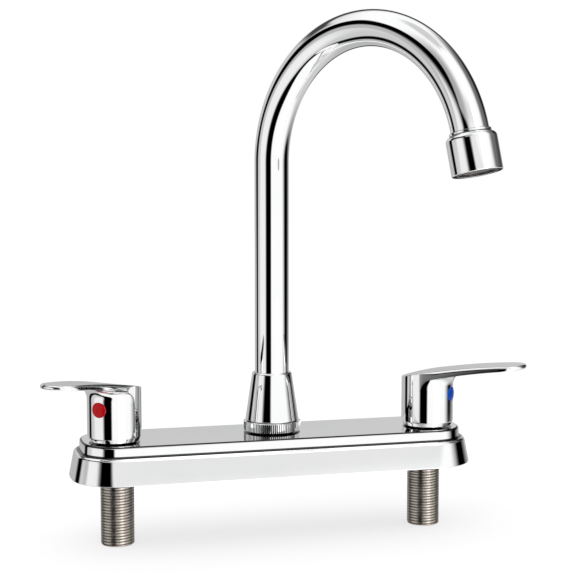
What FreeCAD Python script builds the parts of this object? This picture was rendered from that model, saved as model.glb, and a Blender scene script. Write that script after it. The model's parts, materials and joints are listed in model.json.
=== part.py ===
"""Two handle kitchen faucet on a stepped deck plate, with a swivelling gooseneck spout.

Lengths are millimetres. X runs along the deck to the right, Y points to the back, Z points up.
The origin is the centre of the deck plate's underside, which rests on the sink.
Hot is on the left (-X), cold on the right (+X).
"""
import FreeCAD, Part
import math
import os

V = FreeCAD.Vector
UP = V(0, 0, 1)
ORIGIN = V(0, 0, 0)

# Layout of the three columns
valve_spacing = 203.2
valve_y = -3.5
spout_y = 2.5

# Clearances shared by mating pieces
running_gap = 0.06
fixed_gap = 0.05
disc_gap = 0.05
seal_gap = 0.02
hole_gap = 0.5

# How far a cutting shape reaches past the metal it cuts
cut_margin = 1.0

# Two heights closer than this are the same when edges are picked for rounding
height_match = 0.01

# Deck plate: every outline is an offset of the plateau's top outline
plateau_end_reach = 22.0
plateau_half_width = 28.1
plateau_corner_r = 22.0
plateau_end_r = 110.0
deck_height = 23.1
skirt_height = 16.2
skirt_foot_offset = 6.9
ledge_offset = 3.7
plateau_foot_offset = 0.4
deck_wall = 2.2
plateau_edge_r = 1.4
ledge_edge_r = 2.0
ledge_root_r = 0.8

# Base gasket inside the skirt
gasket_thickness = 2.2
gasket_gap = 0.3

# Threaded inlet shanks: 1/2 inch pipe thread, 14 threads to the inch
shank_length = 42.6
thread_crest_r = 10.4775
thread_pitch = 25.4 / 14
thread_depth = 1.16
thread_crest_flat = 0.4
thread_root_flat = 0.3
shank_neck_r = 9.4
shank_neck_length = 2.0
shank_shoulder_r = 9.9
shank_bore_r = 7.0
shank_spigot_r = 8.9
shank_spigot_length = 5.2
shank_tip_chamfer = 0.6

# Valve bodies under the deck
valve_body_r = 14.0
valve_web_z = 8.0
valve_web_thickness = 1.5
valve_web_hole_r = 5.0
bonnet_thread_r = 9.0
valve_neck_top = 30.0
bonnet_nut_width = 21.0
bonnet_nut_height = 6.0

# Cross tubes between the valve bodies and the spout post
cross_tube_z = 11.5
cross_tube_r = 6.0
cross_tube_wall = 1.1
cross_tube_inset = 11.0

# Ceramic cartridges
cartridge_r = 7.6
cartridge_wall = 1.2
cartridge_hex_width = 17.0
cartridge_hex_height = 3.0
cartridge_collar_r = 6.5
cartridge_collar_height = 3.0
cartridge_window_width = 5.0
cartridge_window_height = 3.6
seat_seal_thickness = 1.5
disc_thickness = 3.0
disc_port_r = 1.7
disc_port_offset = 3.6
cartridge_seal_r = 0.9
cartridge_seal_z = 25.5

# Stems
stem_r = 4.0
stem_foot_height = 3.0
stem_dog_width = 3.0
stem_dog_depth = 1.2
stem_dog_inset = 1.5
stem_foot_gap = 0.25
spline_length = 11.0
spline_teeth = 20
spline_depth = 0.5
stem_seal_r = 0.6
stem_seal_z = 29.0

# Handles
handle_gap = 1.0
hub_r = 16.8
hub_lead = 2.4
hub_wall = 1.8
hub_rim_height = 2.6
hub_rim_inset = 0.8
hub_cavity_top = 50.0
socket_boss_r = 7.6
socket_boss_z = 37.5
lever_reach = 66.5
lever_tip_r = 13.0
lever_back_z = 55.0
lever_mid_z = 63.2
lever_tip_z = 67.3
lever_tip_thickness = 2.7
lever_root_thickness = 4.6
lever_cove_r = 6.5
lever_edge_r = 1.1
hot_lever_azimuth = 227.5
cold_lever_azimuth = -41.0

# Index plugs and the set screws behind them
plug_z = 44.8
plug_r = 5.0
plug_depth = 3.6
plug_dome = 0.8
plug_boss_r = 6.8
set_screw_r = 2.4
set_screw_length = 8.0
set_screw_hex_width = 2.5
set_screw_hex_depth = 3.0

# Spout post in the middle of the deck
post_body_r = 16.0
post_thread_r = 13.0
post_top = 27.0
post_floor_z = 5.0
post_bore_r = 10.05

# Knurled spout nut
nut_gap = 0.8
nut_r = 18.3
nut_height = 6.2
nut_flutes = 90
nut_flute_depth = 0.55
nut_bevel = 0.5
slip_ring_thickness = 0.6

# Swivelling spout
tube_r = 10.9
tube_wall = 1.2
arch_r = 80.0
arch_centre_z = 195.4
arch_sweep = 166.5
spout_azimuth = -59.7
ferrule_flange_r = 12.4
ferrule_flange_height = 1.5
ferrule_spigot_length = 11.0
ferrule_tail_length = 16.0
ferrule_bore_r = 7.6
ferrule_seal_r = 0.9
ferrule_seal_pitch = 6.0
cone_gap = 0.3
cone_foot_r = 17.1
cone_top_r = 12.6
cone_height = 31.0
cone_wall = 2.2
cone_collar_length = 10.0
cone_lip_r = 1.2
cone_foot_edge_r = 0.6

# Aerator, measured along the outlet axis from the tube's end
adapter_ring_r = 12.0
adapter_ring_length = 1.5
adapter_spigot_length = 5.0
adapter_spigot_gap = 0.3
adapter_thread_r = 11.0
adapter_thread_length = 9.0
adapter_bore_r = 8.0
housing_gap = 0.3
housing_r = 14.6
housing_length = 22.4
housing_shoulder_r = 3.2
housing_foot_edge_r = 0.7
housing_lip_r = 9.9
housing_lip_length = 1.2
aerator_washer_thickness = 1.8
regulator_thickness = 2.0
regulator_holes = 12
regulator_hole_inset = 1.0
insert_wall = 1.1
insert_gap = 0.1
screen_thickness = 0.8
screen_hole_r = 0.42
screen_hole_pitch = 1.35


def disc(radius, height, z=0.0, centre=ORIGIN):
    """Upright solid cylinder standing at height z."""
    return Part.makeCylinder(radius, height, V(centre.x, centre.y, z), UP)


def ring(outer_r, inner_r, height, z=0.0, centre=ORIGIN):
    """Upright hollow cylinder standing at height z."""
    return disc(outer_r, height, z, centre).cut(disc(inner_r, height, z, centre))


def revolved(points):
    """Solid of revolution about Z from (radius, height) points."""
    corners = [V(radius, 0, height) for radius, height in points]
    return Part.Face(Part.makePolygon(corners + corners[:1])).revolve(ORIGIN, UP, 360)


def prism(points, z, height):
    """Upright prism over (x, y) points."""
    corners = [V(x, y, z) for x, y in points]
    return Part.Face(Part.makePolygon(corners + corners[:1])).extrude(V(0, 0, height))


def hexagon(width, height, z):
    """Hexagonal prism with the given width across flats."""
    radius = width / math.sqrt(3)
    angles = [math.radians(60 * step) for step in range(6)]
    return prism([(radius * math.cos(a), radius * math.sin(a)) for a in angles], z, height)


def toothed(outer_r, inner_r, teeth, height, z):
    """Prism whose outline alternates between tooth tips and roots."""
    points = []
    for step in range(2 * teeth):
        radius = outer_r if step % 2 == 0 else inner_r
        angle = math.pi * step / teeth
        points.append((radius * math.cos(angle), radius * math.sin(angle)))
    return prism(points, z, height)


def seal_ring(section_r, outer_r, z):
    """Round rubber ring lying flat, given by its outer radius."""
    return Part.makeTorus(outer_r - section_r, section_r, V(0, 0, z), UP)


def seal_groove(section_r, shaft_r, outer_r, z):
    """Square groove in a shaft that holds a seal ring of the same section."""
    width = 2 * section_r + 4 * fixed_gap
    floor_r = outer_r - 2 * section_r - fixed_gap
    return ring(shaft_r + cut_margin, floor_r, width, z - width / 2)


def edges_at(shape, test):
    """Edges of a shape whose middle point passes a test."""
    found = []
    for edge in shape.Edges:
        middle = edge.valueAt((edge.FirstParameter + edge.LastParameter) / 2)
        if test(middle):
            found.append(edge)
    return found


def rim_at(shape, z):
    """Edges of a shape that lie at height z."""
    return edges_at(shape, lambda point: abs(point.z - z) < height_match)


def moved(shape, offset, azimuth=0.0):
    """Copy of a shape turned about Z and then shifted."""
    placed = shape.copy()
    placed.rotate(ORIGIN, UP, azimuth)
    placed.translate(offset)
    return placed


def plateau_half_length():
    """Half the plateau's length: its ends reach past the valves' axes by their own value."""
    return valve_spacing / 2 + plateau_end_reach


def outline(offset, z):
    """Deck outline with bowed ends, as a closed wire at height z."""
    half_length = plateau_half_length() + offset
    half_width = plateau_half_width + offset
    corner_r = plateau_corner_r + offset
    end_r = plateau_end_r + offset
    end_x = half_length - end_r
    corner_y = half_width - corner_r
    corner_x = end_x + math.sqrt((end_r - corner_r) ** 2 - corner_y ** 2)
    lean = math.atan2(corner_y, corner_x - end_x)
    touch = V(end_x + end_r * math.cos(lean), end_r * math.sin(lean), z)
    bend = math.radians(90) - lean
    halfway = lean + bend / 2
    knee = V(corner_x + corner_r * math.cos(halfway), corner_y + corner_r * math.sin(halfway), z)
    flat = V(corner_x, half_width, z)

    def mirrored(point, sx, sy):
        return V(point.x * sx, point.y * sy, point.z)

    def corner(sx, sy):
        return Part.Arc(mirrored(touch, sx, sy), mirrored(knee, sx, sy), mirrored(flat, sx, sy)).toShape()

    def end(sx):
        tip = V(sx * half_length, 0, z)
        return Part.Arc(mirrored(touch, sx, -1), tip, mirrored(touch, sx, 1)).toShape()

    def side(sy):
        return Part.LineSegment(mirrored(flat, -1, sy), mirrored(flat, 1, sy)).toShape()

    edges = [end(1), corner(1, 1), side(1), corner(-1, 1), end(-1), corner(-1, -1), side(-1), corner(1, -1)]
    return Part.Wire(Part.__sortEdges__(edges))


def block(low_offset, low_z, high_offset, high_z):
    """Solid between two deck outlines."""
    return Part.makeLoft([outline(low_offset, low_z), outline(high_offset, high_z)], True, True)


def skirt_offset(z):
    """Offset of the skirt's outer face at height z."""
    return skirt_foot_offset + (ledge_offset - skirt_foot_offset) * z / skirt_height


def deck_plate():
    skirt = block(skirt_foot_offset, 0, ledge_offset, skirt_height)
    plateau = block(plateau_foot_offset, skirt_height, 0, deck_height)
    outer = skirt.fuse(plateau).removeSplitter()
    outer = outer.makeFillet(plateau_edge_r, rim_at(outer, deck_height))
    ledge_gap = ledge_offset - plateau_foot_offset
    reach = plateau_half_length() + plateau_foot_offset + ledge_gap / 2

    def on_ledge(point, outside):
        if abs(point.z - skirt_height) > height_match:
            return False
        across = abs(point.y) > plateau_half_width + plateau_foot_offset + ledge_gap / 2
        return (across or abs(point.x) > reach or ledge_corner(point, ledge_gap / 2)) == outside

    outer = outer.makeFillet(ledge_edge_r, edges_at(outer, lambda p: on_ledge(p, True)))
    outer = outer.makeFillet(ledge_root_r, edges_at(outer, lambda p: on_ledge(p, False)))
    cavity = block(skirt_foot_offset - deck_wall, 0, ledge_offset - deck_wall, skirt_height - deck_wall)
    upper_z = skirt_height - deck_wall - cut_margin
    upper = block(plateau_foot_offset - deck_wall, upper_z, -deck_wall, deck_height - deck_wall)
    shell = outer.cut(cavity).cut(upper)
    for side in (-1, 1):
        hole = disc(bonnet_thread_r + hole_gap, deck_height, deck_wall, valve_axis(side))
        shell = shell.cut(hole)
    return shell.cut(disc(post_thread_r + hole_gap, deck_height, deck_wall, spout_axis()))


def ledge_corner(point, margin):
    """True for a point beyond the plateau's corner arcs by more than the margin."""
    corner_y = plateau_half_width - plateau_corner_r
    spread = plateau_end_r - plateau_corner_r
    corner_x = plateau_half_length() - plateau_end_r + math.sqrt(spread ** 2 - corner_y ** 2)
    if abs(point.x) < corner_x or abs(point.y) < corner_y:
        return False
    away = math.hypot(abs(point.x) - corner_x, abs(point.y) - corner_y)
    return away > plateau_corner_r + plateau_foot_offset + margin


def valve_axis(side):
    """Foot of a valve's axis: side -1 is hot, side 1 is cold."""
    return V(side * valve_spacing / 2, valve_y, 0)


def spout_axis():
    return V(0, spout_y, 0)


def base_gasket():
    offset = skirt_offset(gasket_thickness) - deck_wall - gasket_gap
    pad = Part.Face(outline(offset, 0)).extrude(V(0, 0, gasket_thickness))
    for side in (-1, 1):
        pad = pad.cut(disc(thread_crest_r + hole_gap, gasket_thickness, 0, valve_axis(side)))
    return pad


def shank():
    """Hollow threaded nipple that hangs below the deck, with a spigot up into the valve body."""
    shoulder_z = gasket_thickness
    flank = (thread_pitch - thread_crest_flat - thread_root_flat) / 2
    root_r = thread_crest_r - thread_depth
    turns = int((shank_length - shank_tip_chamfer - shank_neck_length) / thread_pitch)
    points = [(shank_bore_r, -shank_length), (thread_crest_r - shank_tip_chamfer, -shank_length)]
    height = -shank_length + shank_tip_chamfer
    for turn in range(turns):
        points.append((thread_crest_r, height))
        points.append((thread_crest_r, height + thread_crest_flat))
        points.append((root_r, height + thread_crest_flat + flank))
        points.append((root_r, height + thread_crest_flat + flank + thread_root_flat))
        height += thread_pitch
    points.append((shank_neck_r, height))
    points.append((shank_neck_r, -fixed_gap))
    points.append((shank_shoulder_r, 0))
    points.append((shank_shoulder_r, shoulder_z))
    points.append((shank_spigot_r, shoulder_z))
    points.append((shank_spigot_r, shoulder_z + shank_spigot_length))
    points.append((shank_bore_r, shoulder_z + shank_spigot_length))
    return revolved(points)


def valve_body():
    """Brass valve chamber with its port towards +X."""
    shoulder_z = deck_height - deck_wall
    body = disc(valve_body_r, shoulder_z - gasket_thickness, gasket_thickness)
    body = body.fuse(disc(bonnet_thread_r, valve_neck_top - shoulder_z, shoulder_z))
    body = body.cut(disc(shank_spigot_r + fixed_gap, valve_web_z - gasket_thickness, gasket_thickness))
    body = body.cut(disc(valve_web_hole_r, valve_web_thickness, valve_web_z))
    seat_z = valve_web_z + valve_web_thickness
    body = body.cut(disc(cartridge_r + fixed_gap, valve_neck_top - seat_z, seat_z))
    return body.cut(cross_port(valve_body_r))


def cross_port(body_r):
    """Socket and passage for a cross tube that arrives from +X."""
    along = V(1, 0, 0)
    start = V(cross_tube_inset, 0, cross_tube_z)
    socket = Part.makeCylinder(cross_tube_r + fixed_gap, body_r, start, along)
    centre = V(0, 0, cross_tube_z)
    passage = Part.makeCylinder(cross_tube_r - cross_tube_wall, cross_tube_inset, centre, along)
    return socket.fuse(passage)


def cross_tube(side):
    """Thin brass tube from the spout post to one valve body."""
    length = valve_spacing / 2 - 2 * cross_tube_inset
    start = V(side * cross_tube_inset, valve_y, cross_tube_z)
    along = V(side, 0, 0)
    tube = Part.makeCylinder(cross_tube_r, length, start, along)
    return tube.cut(Part.makeCylinder(cross_tube_r - cross_tube_wall, length, start, along))


def spout_post():
    """Brass post in the middle: it takes both cross tubes and the spout's swivel end."""
    shoulder_z = deck_height - deck_wall
    centre = spout_axis()
    post = disc(post_body_r, shoulder_z - gasket_thickness, gasket_thickness, centre)
    post = post.fuse(disc(post_thread_r, post_top - shoulder_z, shoulder_z, centre))
    post = post.cut(disc(post_bore_r, post_top - post_floor_z, post_floor_z, centre))
    for azimuth in (0, 180):
        post = post.cut(moved(cross_port(post_body_r), V(0, valve_y, 0), azimuth))
    return post


def bonnet_nut():
    nut = hexagon(bonnet_nut_width, bonnet_nut_height, deck_height)
    return nut.cut(disc(bonnet_thread_r + fixed_gap, bonnet_nut_height, deck_height))


def seat_z():
    return valve_web_z + valve_web_thickness


def disc_floor_z():
    return seat_z() + seat_seal_thickness


def seat_seal():
    return ring(cartridge_r, valve_web_hole_r, seat_seal_thickness, seat_z())


def moving_disc_z():
    return disc_floor_z() + disc_thickness + disc_gap


def stem_foot_z():
    return moving_disc_z() + disc_thickness


def stem_foot_top():
    return stem_foot_z() + stem_foot_height


def cartridge_bore_r():
    return cartridge_r - cartridge_wall


def cartridge_body():
    """Cartridge shell: discs and stem foot turn inside it, the stem runs in its upper bore."""
    bottom = disc_floor_z()
    body = disc(cartridge_r, valve_neck_top - bottom, bottom)
    body = body.fuse(hexagon(cartridge_hex_width, cartridge_hex_height, valve_neck_top))
    collar_z = valve_neck_top + cartridge_hex_height
    body = body.fuse(disc(cartridge_collar_r, cartridge_collar_height, collar_z))
    ceiling = stem_foot_top() + stem_foot_gap
    body = body.cut(disc(cartridge_bore_r(), ceiling - bottom, bottom))
    body = body.cut(disc(stem_r + running_gap, collar_z, ceiling))
    window_z = moving_disc_z()
    window = Part.makeBox(
        2 * valve_body_r,
        cartridge_window_width,
        cartridge_window_height,
        V(-valve_body_r, -cartridge_window_width / 2, window_z),
    )
    body = body.cut(window)
    return body.cut(seal_groove(cartridge_seal_r, cartridge_r, cartridge_seal_outer(), cartridge_seal_z))


def cartridge_seal_outer():
    return cartridge_r + fixed_gap - seal_gap


def cartridge_seal():
    return seal_ring(cartridge_seal_r, cartridge_seal_outer(), cartridge_seal_z)


def ported_disc(radius, z):
    """Ceramic disc with two round water ports."""
    plate = disc(radius, disc_thickness, z)
    for sign in (-1, 1):
        plate = plate.cut(disc(disc_port_r, disc_thickness, z, V(0, sign * disc_port_offset, 0)))
    return plate


def fixed_disc():
    return ported_disc(cartridge_bore_r() - fixed_gap, disc_floor_z())


def dog_box(gap):
    """Driving tongue under the stem's foot, grown by a gap for its slot."""
    length = 2 * (cartridge_bore_r() - stem_dog_inset + gap)
    width = stem_dog_width + 2 * gap
    corner = V(-length / 2, -width / 2, stem_foot_z() - stem_dog_depth - gap)
    return Part.makeBox(length, width, stem_dog_depth + gap, corner)


def moving_disc():
    radius = cartridge_bore_r() - stem_foot_gap
    return ported_disc(radius, moving_disc_z()).cut(dog_box(fixed_gap))


def spline_z():
    return socket_boss_z


def stem():
    """Valve stem: driving tongue, foot, plain shaft with a seal groove, and splined end."""
    foot_r = cartridge_bore_r() - stem_foot_gap
    body = disc(foot_r, stem_foot_height, stem_foot_z()).fuse(dog_box(0))
    body = body.fuse(disc(stem_r, spline_z() - stem_foot_top(), stem_foot_top()))
    spline = toothed(stem_r, stem_r - spline_depth, spline_teeth, spline_length, spline_z())
    body = body.fuse(spline)
    return body.cut(seal_groove(stem_seal_r, stem_r, stem_seal_outer(), stem_seal_z))


def stem_seal_outer():
    return stem_r + running_gap - seal_gap


def stem_seal():
    return seal_ring(stem_seal_r, stem_seal_outer(), stem_seal_z)


def lever_plan(z, height):
    """Plan outline of hub and lever together: two circles joined by their outer tangents."""
    tip_x = lever_reach - lever_tip_r
    lean = math.asin((hub_r - lever_tip_r) / tip_x)
    near = (hub_r * math.sin(lean), hub_r * math.cos(lean))
    far = (tip_x + lever_tip_r * math.sin(lean), lever_tip_r * math.cos(lean))
    edges = [
        Part.LineSegment(V(near[0], near[1], z), V(far[0], far[1], z)).toShape(),
        Part.Arc(V(far[0], far[1], z), V(lever_reach, 0, z), V(far[0], -far[1], z)).toShape(),
        Part.LineSegment(V(far[0], -far[1], z), V(near[0], -near[1], z)).toShape(),
        Part.Arc(V(near[0], -near[1], z), V(-hub_r, 0, z), V(near[0], near[1], z)).toShape(),
    ]
    return Part.Face(Part.Wire(edges)).extrude(V(0, 0, height))


def arc_across(start, middle, finish):
    """Arc in the upright plane along the lever, from (distance, height) points."""
    points = [V(distance, -2 * hub_r, height) for distance, height in (start, middle, finish)]
    return Part.Arc(*points).toShape()


def top_arc():
    """Curve of the lever's top, from behind the hub to past the tip."""
    middle_x = (lever_reach - hub_r) / 2
    back = V(-hub_r, 0, lever_back_z)
    middle = V(middle_x, 0, lever_mid_z)
    return Part.Arc(back, middle, V(lever_reach, 0, lever_tip_z)).toShape().Curve


def top_z(distance):
    """Height of the lever's top at a distance from the hub's centre."""
    circle = top_arc()
    return circle.Center.z + math.sqrt(circle.Radius ** 2 - (distance - circle.Center.x) ** 2)


def under_z(distance):
    """Height of the lever's underside at a distance from the hub's centre."""
    share = (distance - hub_r) / (lever_reach - hub_r)
    return top_z(distance) - lever_root_thickness - share * (lever_tip_thickness - lever_root_thickness)


def below_top():
    """Everything between height zero and the lever's top curve, cut square across."""
    reach = lever_reach + cut_margin
    back = -hub_r - cut_margin
    top = arc_across((back, top_z(back)), (lever_reach / 2, top_z(lever_reach / 2)), (reach, top_z(reach)))
    corners = [(back, top_z(back)), (back, 0), (reach, 0), (reach, top_z(reach))]
    edge_y = -2 * hub_r
    sides = Part.makePolygon([V(distance, edge_y, height) for distance, height in corners])
    face = Part.Face(Part.Wire(Part.__sortEdges__([top] + sides.Edges)))
    return face.extrude(V(0, 4 * hub_r, 0))


def lever_slab():
    """Thin lever between its top curve and its underside curve, from the hub's centre outwards."""
    reach = lever_reach + cut_margin
    middle = reach / 2
    top = arc_across((0, top_z(0)), (middle, top_z(middle)), (reach, top_z(reach)))
    under = arc_across((0, under_z(0)), (middle, under_z(middle)), (reach, under_z(reach)))
    ends = [
        Part.LineSegment(V(x, -2 * hub_r, top_z(x)), V(x, -2 * hub_r, under_z(x))).toShape()
        for x in (0, reach)
    ]
    face = Part.Face(Part.Wire(Part.__sortEdges__([top, under] + ends)))
    return face.extrude(V(0, 4 * hub_r, 0)).common(lever_plan(0, 2 * lever_tip_z))


def hub_bottom():
    return deck_height + handle_gap


def lever_cove():
    """Hollow blend between the hub's wall and the lever's underside."""
    seat = under_z(hub_r + lever_cove_r) + fixed_gap
    radius = lever_cove_r
    inner = V(hub_r - cut_margin, 0, seat - radius)
    wall = V(hub_r, 0, seat - radius)
    turn = V(hub_r + radius * (1 - math.cos(math.pi / 4)), 0, seat - radius * (1 - math.sin(math.pi / 4)))
    tip = V(hub_r + radius, 0, seat)
    roof = V(hub_r + radius, 0, seat + fixed_gap)
    back = V(hub_r - cut_margin, 0, seat + fixed_gap)
    curve = Part.Arc(wall, turn, tip).toShape()
    edges = Part.makePolygon([tip, roof, back, inner, wall]).Edges
    profile = Part.Face(Part.Wire(Part.__sortEdges__([curve] + edges)))
    cove = profile.revolve(ORIGIN, UP, 360)
    return cove.common(lever_plan(0, 2 * lever_tip_z)).common(below_top())


def handle_outside():
    """Hub, cove and lever as one solid, about the hub's centre with the lever along +X."""
    bottom = hub_bottom()
    hub = revolved([
        (0, bottom),
        (hub_r - hub_rim_inset, bottom),
        (hub_r, bottom + hub_rim_height),
        (hub_r, 2 * lever_tip_z),
        (0, 2 * lever_tip_z),
    ])
    hub = hub.common(below_top())
    body = hub.fuse([lever_slab(), lever_cove()]).removeSplitter()
    free_from = hub_r + lever_cove_r

    def below_lever(point):
        return point.x > free_from and point.z < top_z(point.x) - lever_tip_thickness / 2

    return body.makeFillet(lever_edge_r, edges_at(body, below_lever))


def handle():
    """Hollow handle casting about the stem's axis, with its lever along +X."""
    body = moved(handle_outside(), V(hub_lead, 0, 0))
    cavity_r = hub_r - hub_wall - hub_lead
    bottom = hub_bottom()
    cavity = disc(cavity_r, hub_cavity_top - bottom, bottom)
    cavity = cavity.cut(disc(socket_boss_r, hub_cavity_top - socket_boss_z, socket_boss_z))
    cavity = cavity.cut(Part.makeCylinder(plug_boss_r, 2 * hub_r, V(0, 0, plug_z), V(1, 0, 0)))
    body = body.cut(cavity)
    socket_depth = spline_length + hole_gap
    socket = toothed(
        stem_r + fixed_gap, stem_r - spline_depth + fixed_gap, spline_teeth, socket_depth, spline_z()
    )
    body = body.cut(socket)
    along = V(1, 0, 0)
    body = body.cut(Part.makeCylinder(plug_r, 2 * hub_r, V(plug_floor(), 0, plug_z), along))
    return body.cut(Part.makeCylinder(set_screw_r + fixed_gap, plug_floor(), V(0, 0, plug_z), along))


def plug_floor():
    """Distance of the plug's flat back from the stem's axis."""
    return hub_lead + hub_r - plug_depth


def index_plug():
    """Round colour plug with a gently domed face."""
    length = plug_depth
    radius = plug_r - fixed_gap
    sphere_r = (radius ** 2 + plug_dome ** 2) / (2 * plug_dome)
    body = Part.makeCylinder(radius, length + plug_dome, V(plug_floor(), 0, plug_z), V(1, 0, 0))
    tip = plug_floor() + length + plug_dome
    ball = Part.makeSphere(sphere_r, V(tip - sphere_r, 0, plug_z))
    return body.common(ball)


def set_screw():
    """Headless screw that bears on the splined stem behind the plug."""
    start = stem_r + fixed_gap
    body = Part.makeCylinder(set_screw_r, set_screw_length, V(start, 0, plug_z), V(1, 0, 0))
    key = hexagon(set_screw_hex_width, set_screw_hex_depth, 0)
    key.rotate(ORIGIN, V(0, 1, 0), 90)
    key.translate(V(start + set_screw_length - set_screw_hex_depth, 0, plug_z))
    return body.cut(key)


def nut_bottom():
    return deck_height + nut_gap


def nut_top():
    return nut_bottom() + nut_height


def flange_z():
    return post_top + running_gap


def slip_ring_z():
    return flange_z() + ferrule_flange_height


def spout_nut():
    """Knurled nut on the post that traps the ferrule's flange."""
    blank = toothed(nut_r, nut_r - nut_flute_depth, nut_flutes, nut_height, nut_bottom())
    bevelled = revolved([
        (0, nut_bottom()),
        (nut_r + fixed_gap, nut_bottom()),
        (nut_r + fixed_gap, nut_top() - nut_bevel),
        (nut_r - nut_bevel, nut_top()),
        (0, nut_top()),
    ])
    lip_z = slip_ring_z() + slip_ring_thickness + running_gap
    bore = disc(post_thread_r + fixed_gap, lip_z - nut_bottom(), nut_bottom())
    neck = disc(tube_r + hole_gap, nut_height, nut_bottom())
    return moved(blank.common(bevelled).cut(bore).cut(neck), spout_axis())


def slip_ring():
    """Low friction ring between the ferrule's flange and the nut's lip."""
    body = ring(ferrule_flange_r, tube_r + running_gap, slip_ring_thickness, slip_ring_z())
    return moved(body, spout_axis())


def spout_ferrule():
    """Swivel end of the spout: tail in the post's bore, flange under the nut, spigot in the tube."""
    tail_r = post_bore_r - running_gap
    body = disc(tail_r, ferrule_tail_length, flange_z() - ferrule_tail_length)
    body = body.fuse(disc(ferrule_flange_r, ferrule_flange_height, flange_z()))
    spigot_r = tube_r - tube_wall - fixed_gap
    body = body.fuse(disc(spigot_r, ferrule_spigot_length, slip_ring_z()))
    height = ferrule_tail_length + ferrule_flange_height + ferrule_spigot_length
    body = body.cut(disc(ferrule_bore_r, height, flange_z() - ferrule_tail_length))
    for z in ferrule_seal_heights():
        body = body.cut(seal_groove(ferrule_seal_r, tail_r, ferrule_seal_outer(), z))
    return moved(body, spout_axis())


def ferrule_seal_outer():
    return post_bore_r - seal_gap


def ferrule_seal_heights():
    """Heights of the lower and upper seal rings on the ferrule's tail."""
    middle = flange_z() - ferrule_tail_length / 2
    return (middle - ferrule_seal_pitch / 2, middle + ferrule_seal_pitch / 2)


def spout_seal(index):
    body = seal_ring(ferrule_seal_r, ferrule_seal_outer(), ferrule_seal_heights()[index])
    return moved(body, spout_axis())


def placed_on_spout(shape):
    """Turn a shape built in the X-Z plane to the spout's azimuth and stand it on the spout's axis."""
    return moved(shape, spout_axis(), spout_azimuth)


def arch_point(degrees):
    """Point on the arch's centre line, in the X-Z plane, at an angle from the riser's top."""
    angle = math.radians(degrees)
    return V(arch_r - arch_r * math.cos(angle), 0, arch_centre_z + arch_r * math.sin(angle))


def bent_rod(radius):
    """Solid rod along the riser and the arch, in the X-Z plane."""
    foot = V(0, 0, slip_ring_z())
    riser = Part.LineSegment(foot, arch_point(0)).toShape()
    arch = Part.Arc(arch_point(0), arch_point(arch_sweep / 2), arch_point(arch_sweep)).toShape()
    section = Part.Wire(Part.makeCircle(radius, foot, UP))
    return Part.Wire([riser, arch]).makePipeShell([section], True, False)


def spout_tube():
    tube = bent_rod(tube_r).cut(bent_rod(tube_r - tube_wall))
    return placed_on_spout(tube)


def spout_cone():
    """Hollow cone at the foot of the riser, gripping the tube by its upper collar."""
    bottom = nut_top() + cone_gap
    top = bottom + cone_height
    outside = revolved([(0, bottom), (cone_foot_r, bottom), (cone_top_r, top), (0, top)])
    outside = outside.makeFillet(cone_lip_r, rim_at(outside, top))
    outside = outside.makeFillet(cone_foot_edge_r, rim_at(outside, bottom))
    slope = (cone_foot_r - cone_top_r) / cone_height
    collar_z = top - cone_collar_length
    inside = revolved([
        (0, bottom),
        (cone_foot_r - cone_wall, bottom),
        (cone_foot_r - cone_wall - slope * (collar_z - bottom), collar_z),
        (0, collar_z),
    ])
    bore = disc(tube_r + seal_gap, cone_height, bottom)
    return moved(outside.cut(inside).cut(bore), spout_axis())


def placed_on_outlet(shape):
    """Move a shape built along +Z from the tube's end to the spout's outlet."""
    placed = shape.copy()
    placed.rotate(ORIGIN, V(0, 1, 0), arch_sweep)
    placed.translate(arch_point(arch_sweep))
    return placed_on_spout(placed)


def aerator_adapter():
    """Ring on the tube's end, with a spigot inside the tube and a thread for the housing."""
    spigot_r = tube_r - tube_wall - adapter_spigot_gap
    body = disc(spigot_r, adapter_spigot_length, -adapter_spigot_length)
    body = body.fuse(disc(adapter_ring_r, adapter_ring_length, 0))
    body = body.fuse(disc(adapter_thread_r, adapter_thread_length, adapter_ring_length))
    length = adapter_spigot_length + adapter_ring_length + adapter_thread_length
    return placed_on_outlet(body.cut(disc(adapter_bore_r, length, -adapter_spigot_length)))


def housing_start():
    return adapter_ring_length + housing_gap


def housing_end():
    return housing_start() + housing_length


def adapter_end():
    return adapter_ring_length + adapter_thread_length


def insert_r():
    return adapter_thread_r + fixed_gap - insert_gap


def aerator_housing():
    """Chromed cup that screws on the adapter and holds the aerator's inner pieces."""
    start = housing_start()
    body = disc(housing_r, housing_length, start)
    body = body.makeFillet(housing_shoulder_r, rim_at(body, start))
    body = body.makeFillet(housing_foot_edge_r, rim_at(body, housing_end()))
    body = body.cut(disc(adapter_thread_r + fixed_gap, housing_length - housing_lip_length, start))
    return placed_on_outlet(body.cut(disc(housing_lip_r, housing_length, start)))


def aerator_washer():
    body = ring(insert_r(), adapter_bore_r, aerator_washer_thickness, adapter_end())
    return placed_on_outlet(body)


def regulator_z():
    return adapter_end() + aerator_washer_thickness


def flow_regulator():
    """Plastic disc with a ring of small holes that breaks the flow into jets."""
    body = disc(insert_r(), regulator_thickness, regulator_z())
    reach = adapter_bore_r - regulator_hole_inset
    for index in range(regulator_holes):
        angle = 2 * math.pi * index / regulator_holes
        centre = V(reach * math.cos(angle), reach * math.sin(angle), 0)
        body = body.cut(disc(screen_hole_r, regulator_thickness, regulator_z(), centre))
    return placed_on_outlet(body)


def insert_z():
    return regulator_z() + regulator_thickness


def screen_z():
    return housing_end() - housing_lip_length - screen_thickness


def aerator_insert():
    """Plastic tube that mixes air into the stream above the screen."""
    length = screen_z() - insert_z()
    return placed_on_outlet(ring(insert_r(), insert_r() - insert_wall, length, insert_z()))


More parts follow.
